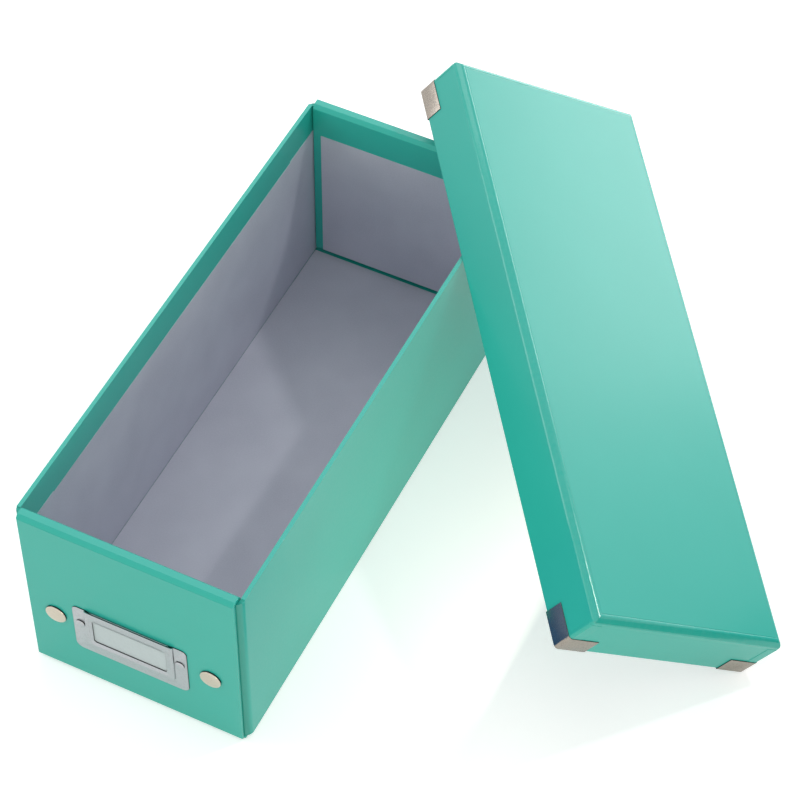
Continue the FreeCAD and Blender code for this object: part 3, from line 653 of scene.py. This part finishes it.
boxLook = {
    "softEdge": 0.6,        # how round the paper lies on a board's edge
    "crease": 2.0,          # depth of the slanted crease between an end and its strip
    "paper": 0.4,
    "foldRadius": 4.9,
    "creaseEdge": 0.8,
    "flapLoops": (13, 33),              # extra loops keep the long flats even, from a flap's end
    "wallLoops": (1.5, 120.0, 60.0),    # from the wall's end, and from the middle of the box
    "paintedShadeTo": 0.6,                      # painted shade covers a corner fold over this share of its width
}

wallLow, wallHigh = spanOf("right_wall")
panelLow, panelHigh = spanOf("front_panel")
flapLow, flapHigh = spanOf("front_right_flap")
foldHigh = spanOf("front_right_fold")[1]
stripLow, stripHigh = spanOf("front_top_strip")
tuckLow, tuckHigh = spanOf("front_tuck_panel")


def bulgedArc(start, end, radius, steps):
    # points between two points on an arc that bulges to the right of the way there
    start, end = Vector(start), Vector(end)
    chord = end - start
    across = Vector((-chord.y, chord.x)).normalized()
    centre = start + chord / 2 + across * math.sqrt(radius ** 2 - (chord.length / 2) ** 2)
    a, b = start - centre, end - centre
    sweep = a.angle(b)
    return [centre + (a * math.sin((1 - i / steps) * sweep) + b * math.sin(i / steps * sweep))
            / math.sin(sweep) for i in range(steps + 1)]


def makeSide(name, sign, replaced):
    # a wall, its two flaps and the paper folds between them are one drawn wrap
    outX, inX, wallEnd = wallHigh.x, wallLow.x, wallHigh.y
    flapOut, flapIn, hinge = -flapLow.y, -flapHigh.y, panelHigh.x
    half = []
    near, far = boxLook["flapLoops"]
    for x in (flapLow.x, flapLow.x + near, flapLow.x + far, hinge):
        half.append(((x, -flapOut), (x, -flapIn), flapLow.z, flapLow.z, flapHigh.z))
    steps = 6
    for i, point in enumerate(bulgedArc((hinge, -flapOut), (outX, -wallEnd),
                                        boxLook["foldRadius"], steps)):
        t = i / steps
        inner = (hinge + t * (inX - hinge), -flapIn + t * (flapIn - wallEnd))
        top = flapHigh.z + (foldHigh.z - flapHigh.z) * t
        if i:
            # its inner foot goes down beside the base board, so that no light comes in there
            foot = flapLow.z if t < 0.5 else 0.0
            half.append((tuple(point), inner, flapLow.z, foot, top))
    half.append(((outX, -wallEnd), (inX, -wallEnd), wallLow.z, 0.0, wallHigh.z))
    fromEnd, farther, nearer = boxLook["wallLoops"]
    for y in (wallEnd - fromEnd, farther, nearer):
        half.append(((outX, -y), (inX, -y), wallLow.z, 0.0, wallHigh.z))
    stations = half + [((o[0], -o[1]), (i[0], -i[1]), lo, li, top)
                       for o, i, lo, li, top in reversed(half)]
    paintedShadeTo = boxLook["paintedShadeTo"]
    loops, shades = [], []
    for outer, inner, lowOut, lowIn, top in stations:
        loops.append([(sign * outer[0], outer[1], lowOut), (sign * outer[0], outer[1], top),
                      (sign * inner[0], inner[1], top), (sign * inner[0], inner[1], lowIn)])
        # painted shade: the fold is darkest beside the end panel
        past = (outer[0] - hinge) / (outX - hinge)
        shade = 1.0 if past < paintedShadeTo else max(0.0, (1 - past) / (1 - paintedShadeTo))
        shades += [shade, shade, 0.0, 0.0]
    side = loftPiece(name, loops, shade=shades)
    softenEdges(side, boxLook["softEdge"])
    markFolds(plainMesh(side))
    dress(side, "box", wrap, replaced)


makeSide("right_side", 1, ("right_wall", "right_base_fold", "front_right_flap",
                           "front_right_fold", "rear_right_flap", "rear_right_fold"))
makeSide("left_side", -1, ("left_wall", "left_base_fold", "front_left_flap", "front_left_fold",
                           "rear_left_flap", "rear_left_fold"))


def drawnPiece(name, section, halfWidth, turn, softEdge, body, replaced, stations=9):
    # a section in the Y-Z plane drawn out along X; turn is -1 at the front, 1 at the rear
    loops = []
    for i in range(stations):
        x = halfWidth * (2 * i / (stations - 1) - 1)
        loops.append([(-turn * x, turn * y, z) for y, z in section])
    piece = loftPiece(name, loops)
    softenEdges(piece, softEdge, angle=25)
    markFolds(plainMesh(piece))
    return dress(piece, body, wrap, replaced)


def makeEnd(name, turn):
    outside, inside, panelTop = -panelLow.y, -panelHigh.y, panelHigh.z
    panel = [(outside, panelLow.z), (outside, panelTop), (inside, panelTop), (inside, 0.0)]
    drawnPiece(name + "_end_panel", panel, panelHigh.x, turn, boxLook["softEdge"], "box",
               (name + "_panel", name + "_base_fold"))
    crease, paper = boxLook["crease"], boxLook["paper"]
    tuckOut, tuckIn = -tuckLow.y, -tuckHigh.y
    over = [(outside, panelTop), (outside - crease, stripHigh.z),
            (tuckIn + crease, stripHigh.z), (tuckIn, panelTop), (tuckIn, tuckLow.z),
            (tuckOut, tuckLow.z), (tuckOut, stripLow.z), (outside - crease - paper, stripLow.z),
            (outside - paper, panelTop)]
    drawnPiece(name + "_fold_over_wrap", over, stripHigh.x, turn, boxLook["creaseEdge"] / 2,
               name + "_fold_over",
               tuple(name + n for n in ("_top_strip", "_tuck_panel", "_outer_crease",
                                        "_inner_crease")))


makeEnd("front", -1)
makeEnd("rear", 1)
print("box made")


# press studs, rivets and label holder

def turnedPiece(name, corners, steps):
    # corners are (radius, height, painted shade) from the middle of the head outwards
    points, faces, shades = [], [], []
    for radius, height, shade in corners:
        for i in range(steps):
            angle = 2 * math.pi * i / steps
            points.append((radius * math.cos(angle), radius * math.sin(angle), height))
            shades.append(shade)
    for ring in range(len(corners) - 1):
        for i in range(steps):
            j = (i + 1) % steps
            faces.append((ring * steps + i, ring * steps + j,
                          (ring + 1) * steps + j, (ring + 1) * steps + i))
    return meshPiece(name, points, faces, None, 40, shades)


def domeCorners(radius, rise, low, steps, power=3.2):
    # a pressed dome: nearly flat in the middle, steep at its edge
    return [(max(radius * i / steps, 0.001), low + rise * (1 - (i / steps) ** power), 0.0)
            for i in range(steps + 1)]


studLook = {
    "radius": 6.4, "height": 1.45, "rise": 0.35, "rim": 0.3,
    "post": 1.9, "depth": 1.2,
    "up": 51.5, "across": 48.0,     # its place over the floor and from the panel's middle
}


def makeStuds():
    look = studLook
    rim, radius = look["rim"], look["radius"]
    face = look["height"] - look["rise"]
    corners = domeCorners(radius - rim, look["rise"], face, 14)
    # the rolled rim and the foot take painted shade for the dark reflection and shadow at the
    # cap's edge
    for i in range(1, 6):
        angle = math.pi / 2 * i / 5
        corners.append((radius - rim + rim * math.sin(angle), face - rim + rim * math.cos(angle),
                        max(0.0, i - 2) / 3))
    corners += [(radius, 0.02, 1.0), (radius - rim, 0.0, 1.0), (look["post"] + 0.3, 0.02, 1.0),
                (look["post"], 0.0, 0.0), (look["post"], -look["depth"], 0.0),
                (0.001, -look["depth"], 0.0)]
    source = turnedPiece("studSource", corners, 40)
    places = [((sx * look["across"], turn * -panelLow.y, look["up"]), (-90 * turn, 0, 0))
              for turn in (-1, 1) for sx in (-1, 1)]
    caps = repeatPiece("stud_caps", source, places, warmNickel, 40)
    dress(caps, "box", warmNickel, ("press_stud_caps",))


holderLook = {
    "sheet": 0.6, "corner": 4.5, "topCorner": 3.4,
    "pocketLeft": -28.8, "pocketRight": 25.8, "pocketBottom": 36.6, "pocketRise": 1.8,
    "pocketCorner": 1.6,
    "windowLeft": -24.2, "windowRight": 21.2, "windowBottom": 41.5, "windowTop": 59.9,
    "windowCorner": 1.6,
    "frame": 2.3, "frameDrop": 0.28,
}


def makeHolder():
    # closed loops run from the window's inside edge over the pocket's face, down its wall,
    # across the plate to its outside edge and back underneath
    look = holderLook
    low, high = spanOf("label_holder")
    sheet, rise, drop = look["sheet"], look["pocketRise"], look["frameDrop"]
    window = (look["windowLeft"], look["windowRight"], look["windowBottom"], look["windowTop"],
              look["windowCorner"])
    pocket = (look["pocketLeft"], look["pocketRight"], look["pocketBottom"], high.z,
              look["pocketCorner"])
    topPoints, sidePoints, arcPoints, basePoints = 12, 12, 6, 12

    def loopOf(outline, grow, lift, topLift, plate=False, openTop=True, paintedShade=0.0, topPaintedShade=0.0):
        left, right, bottom, top, radius = outline
        left, right, bottom = left - grow, right + grow, bottom - grow
        top = top if openTop else top + grow
        radius = max(radius + grow, 0.2)
        points, shades = [], []
        innerLeft, innerRight = (pocket[0], pocket[1]) if plate else (left, right)
        for i in range(topPoints):
            t = (i + 1) / (topPoints + 1)
            points.append((innerRight + (innerLeft - innerRight) * t, top, topLift))
            shades.append(topPaintedShade)
        sides = []
        for sign, edge, inner in ((-1, left, innerLeft), (1, right, innerRight)):
            side = []
            if plate:
                r = look["topCorner"] + grow
                side += [(inner + sign * 0.6, top), (edge - sign * r, top)]
                for k in range(1, 6):
                    angle = math.pi / 2 * k / 6
                    side.append((edge - sign * r + sign * r * math.sin(angle),
                                 top - r + r * math.cos(angle)))
                start, count = top - r, sidePoints - len(side)
            else:
                start, count = top, sidePoints
            for k in range(count):
                side.append((edge, start + (bottom + radius - start) * k / (count - 1)))
            sides.append(side)
        outlinePoints = list(sides[0])
        for k in range(1, arcPoints + 1):
            angle = math.pi / 2 * k / arcPoints
            outlinePoints.append((left + radius - radius * math.cos(angle),
                                  bottom + radius - radius * math.sin(angle)))
        for k in range(1, basePoints):
            outlinePoints.append((left + radius + (right - left - 2 * radius) * k / basePoints,
                                  bottom))
        for k in range(arcPoints):
            angle = math.pi / 2 * k / arcPoints
            outlinePoints.append((right - radius + radius * math.sin(angle),
                                  bottom + radius - radius * math.cos(angle)))
        outlinePoints += reversed(sides[1])
        points += [(x, z, lift) for x, z in outlinePoints]
        shades += [paintedShade] * len(outlinePoints)
        return [(x, panelLow.y - h, z) for x, z, h in points], shades

    plate = (low.x, high.x, low.z, high.z, look["corner"])
    back = rise - sheet
    closed = {"openTop": False}
    # in what differs, the shade values paint shade on the pocket's foot, the open top slot and the
    # plate's edge
    # (outline, grown by, lift, lift along the open top, what differs)
    rows = [
        (window, 0.0, rise - drop - sheet, rise - drop - sheet, closed),
        (window, 0.0, rise - drop - 0.1, rise - drop - 0.1, closed),
        (window, 0.12, rise - drop, rise - drop, closed),
        (window, look["frame"] - 0.5, rise - drop, rise - drop, closed),
        (window, look["frame"] - 0.3, rise - drop * 0.7, rise - drop * 0.7, closed),
        (window, look["frame"] - 0.1, rise - drop * 0.2, rise - drop * 0.2, closed),
        (window, look["frame"] + 0.1, rise, rise, closed),
        (pocket, -0.7, rise, rise, {}),
        (pocket, -0.3, rise - 0.08, rise - 0.1, {"topPaintedShade": 1.0}),
        (pocket, -0.05, rise - 0.35, rise - 0.15, {"topPaintedShade": 1.0}),
        (pocket, 0.05, sheet + 0.45, rise - 0.2, {"topPaintedShade": 1.0, "paintedShade": 0.25}),
        (pocket, 0.2, sheet + 0.12, rise - 0.25, {"topPaintedShade": 1.0, "paintedShade": 0.55}),
        (pocket, 0.5, sheet, rise - 0.3, {"topPaintedShade": 1.0}),
        (plate, -0.35, sheet, rise - 0.35, {"plate": True, "topPaintedShade": 1.0}),
        (plate, -0.12, sheet - 0.05, rise - 0.4, {"plate": True, "topPaintedShade": 1.0, "paintedShade": 0.5}),
        (plate, 0.0, sheet - 0.18, rise - 0.45, {"plate": True, "topPaintedShade": 1.0, "paintedShade": 1.0}),
        (plate, 0.0, 0.02, rise - 0.5, {"plate": True, "topPaintedShade": 1.0, "paintedShade": 1.0}),
        (plate, -0.4, 0.0, rise - 0.53, {"plate": True, "topPaintedShade": 1.0, "paintedShade": 1.0}),
        (pocket, 0.1, 0.0, rise - 0.56, {"topPaintedShade": 1.0, "paintedShade": 1.0}),
        (pocket, -0.5, back - 0.1, back, {"topPaintedShade": 1.0, "paintedShade": 0.6}),
        (pocket, -0.9, back, back, {"topPaintedShade": 0.6}),
    ]
    loops, shades = [], []
    for outline, grow, lift, topLift, extra in rows:
        loop, shade = loopOf(outline, grow, lift, topLift, **extra)
        loops.append(loop)
        # the window's inside edge takes full painted shade
        shades += [1.0] * len(shade) if len(loops) <= 2 else shade
    holder = loftPiece("label_holder_plate", loops, None, 40, shades, ring=True)
    dress(holder, "box", nickel, ("label_holder",))


rivetLook = {
    "radius": 2.9, "rise": 0.5, "edge": 0.6,
    "shank": 1.3, "tail": 2.6, "tailThick": 0.4,
    "up": 52.8, "apart": 61.8,
}


def makeRivets():
    look = rivetLook
    holderLow, holderHigh = spanOf("label_holder")
    sheet, edge, radius = holderLook["sheet"], look["edge"], look["radius"]
    board = panelHigh.y - panelLow.y
    corners = domeCorners(radius - 0.1, look["rise"], edge, 9)
    # the head's rim takes painted shade
    corners += [(radius, edge * 0.85, 0.6), (radius, edge * 0.5, 1.0), (radius - 0.05, 0.0, 1.0),
                (look["shank"], 0.0, 1.0), (look["shank"], -sheet - board, 0.0),
                (look["tail"], -sheet - board, 0.0),
                (look["tail"], -sheet - board - look["tailThick"], 0.0),
                (0.001, -sheet - board - look["tailThick"], 0.0)]
    source = turnedPiece("rivetSource", corners, 32)
    middle = (holderLow.x + holderHigh.x) / 2
    places = [((middle + s * look["apart"] / 2, panelLow.y - sheet, look["up"]), (90, 0, 0))
              for s in (-1, 1)]
    rivets = repeatPiece("plate_rivets", source, places, nickel, 40)
    dress(rivets, "box", nickel, ("label_holder_rivets",))


makeStuds()
makeHolder()
makeRivets()
print("fasteners and label holder made")


# floor, light and camera

studio = {
    "floorSize": 6.0,
    "floorColour": "#EDEDEC",
    "floorGlow": 0.46,      # what the floor adds where it is seen, and where it is mirrored
    "floorMirrored": 0.26,
    "worldStrength": 0.62,
    "lamps": (
        # name, place, aim, width, height, watts, colour
        ("rearKey", (-0.5, 0.95, 1.4), (0.05, 0.0, 0.06), 0.8, 0.8, 3.5, "#FFFFFF"),
        ("rearPanel", (0.48, 1.66, 0.25), (0.14, 0.15, 0.12), 1.0, 0.45, 6.3, "#FFFFFF"),
        ("wallFill", (0.85, -1.4, 0.3), (0.07, 0.0, 0.07), 0.8, 0.4, 5.0, "#FFFCE2"),
        ("left", (-1.4, -0.4, 1.1), (0.15, -0.02, 0.08), 1.0, 1.0, 7.0, "#FFFFFF"),
        ("bounce", (0.185, 0.0, 0.035), (0.07, 0.0, 0.06), 0.2, 0.05, 0.06, "#FFFBE4"),
        ("streak", (0.84, 0.77, 1.51), (0.21, -0.06, 0.11), 0.08, 0.08, 4.5, "#FFFFFF"),
    ),
    # cards that only reflections see: they tint and darken the lid's metal
    "cardRoughness": 0.9,
    "cards": (
        # name, middle, what it faces, width, height, colour
        ("gapCard", (0.128, -0.122, 0.085), (1.128, -0.122, 0.085), 0.104, 0.17, "#2E6BA8"),
        ("rightCard", (0.45, -0.05, 0.05), (0.0, -0.05, 0.05), 0.6, 0.1, "#10302C"),
    ),
}


def makeFloor():
    size = studio["floorSize"]
    mesh = bpy.data.meshes.new("floor")
    mesh.from_pydata([(-size, -size, 0), (size, -size, 0), (size, size, 0), (-size, size, 0)], [],
                     [(0, 1, 2, 3)])
    floor = bpy.data.objects.new("floor", mesh)
    bpy.context.scene.collection.objects.link(floor)
    material = bpy.data.materials.new("paperBackdrop")
    material.use_nodes = True
    tree = material.node_tree
    tree.nodes.clear()
    path = addNode(tree, "ShaderNodeLightPath")
    mirrored = addNode(tree, "ShaderNodeMath",
                       {"operation": "MULTIPLY", 1: studio["floorMirrored"]},
                       {0: path.outputs["Is Glossy Ray"]})
    level = addNode(tree, "ShaderNodeMath", {"operation": "MULTIPLY_ADD", 1: studio["floorGlow"]},
                    {0: path.outputs["Is Camera Ray"], 2: mirrored.outputs["Value"]})
    matt = addNode(tree, "ShaderNodeBsdfDiffuse", {"Color": linearColour(studio["floorColour"])})
    glow = addNode(tree, "ShaderNodeEmission", links={"Strength": level.outputs["Value"]})
    both = addNode(tree, "ShaderNodeAddShader", links={0: matt.outputs[0], 1: glow.outputs[0]})
    addNode(tree, "ShaderNodeOutputMaterial", links={"Surface": both.outputs[0]})
    mesh.materials.append(material)


def makeLights():
    world = bpy.data.worlds.new("studio")
    world.use_nodes = True
    background = world.node_tree.nodes["Background"]
    background.inputs["Color"].default_value = (1, 1, 1, 1)
    # white where it is seen or mirrored, and softer where it lights
    tree = world.node_tree
    path = addNode(tree, "ShaderNodeLightPath")
    seen = addNode(tree, "ShaderNodeMath", {"operation": "MAXIMUM"},
                   {0: path.outputs["Is Camera Ray"], 1: path.outputs["Is Glossy Ray"]})
    through = addNode(tree, "ShaderNodeMath", {"operation": "MAXIMUM"},
                      {0: seen.outputs["Value"], 1: path.outputs["Is Transmission Ray"]})
    level = addNode(tree, "ShaderNodeMapRange", {"To Min": studio["worldStrength"], "To Max": 1.0},
                    {"Value": through.outputs["Value"]})
    tree.links.new(level.outputs["Result"], background.inputs["Strength"])
    bpy.context.scene.world = world
    for name, place, aim, width, height, watts, colour in studio["lamps"]:
        light = bpy.data.lights.new(name, "AREA")
        light.shape = "RECTANGLE"
        light.size, light.size_y = width, height
        light.energy = watts
        light.color = linearColour(colour)[:3]
        lamp = bpy.data.objects.new(name, light)
        lamp.location = place
        lamp.rotation_euler = (Vector(aim) - Vector(place)).to_track_quat("-Z", "Y").to_euler()
        lamp.visible_camera = False
        bpy.context.scene.collection.objects.link(lamp)


def makeFlags():
    for name, middle, faced, width, height, colour in studio["cards"]:
        x, y = width / 2, height / 2
        mesh = bpy.data.meshes.new(name)
        mesh.from_pydata([(-x, -y, 0), (x, -y, 0), (x, y, 0), (-x, y, 0)], [], [(0, 1, 2, 3)])
        card = bpy.data.objects.new(name, mesh)
        card.location = middle
        card.rotation_euler = (Vector(faced) - Vector(middle)).to_track_quat("Z", "Y").to_euler()
        bpy.context.scene.collection.objects.link(card)
        material = bpy.data.materials.new(name + "Paper")
        material.use_nodes = True
        shader = material.node_tree.nodes["Principled BSDF"]
        shader.inputs["Base Color"].default_value = linearColour(colour)
        shader.inputs["Roughness"].default_value = studio["cardRoughness"]
        mesh.materials.append(material)
        for ray in ("camera", "diffuse", "shadow", "transmission", "volume_scatter"):
            setattr(card, "visible_" + ray, False)


# fitted to the corners of box and lid in the photograph
cameraLook = {
    "lens": 120.86, "sensor": 36.0,
    "nearest": 0.05, "farthest": 30.0,
    "place": (0.48045, -0.85062, 1.26296),
    "right": (0.89847, 0.43898, 0.00782),
    "up": (-0.34427, 0.69335, 0.63305),
}


def makeCamera():
    look = cameraLook
    camera = bpy.data.cameras.new("photoCamera")
    camera.lens = look["lens"]
    camera.sensor_width = look["sensor"]
    camera.clip_start, camera.clip_end = look["nearest"], look["farthest"]
    eye = bpy.data.objects.new("photoCamera", camera)
    right, up = Vector(look["right"]), Vector(look["up"])
    back = right.cross(up)
    turn = Matrix((right, up, back)).transposed().to_4x4()
    eye.matrix_world = Matrix.Translation(look["place"]) @ turn
    bpy.context.scene.collection.objects.link(eye)
    bpy.context.scene.camera = eye


makeFloor()
makeLights()
makeFlags()
makeCamera()
bpy.context.scene.view_settings.view_transform = "Standard"
print("studio made")
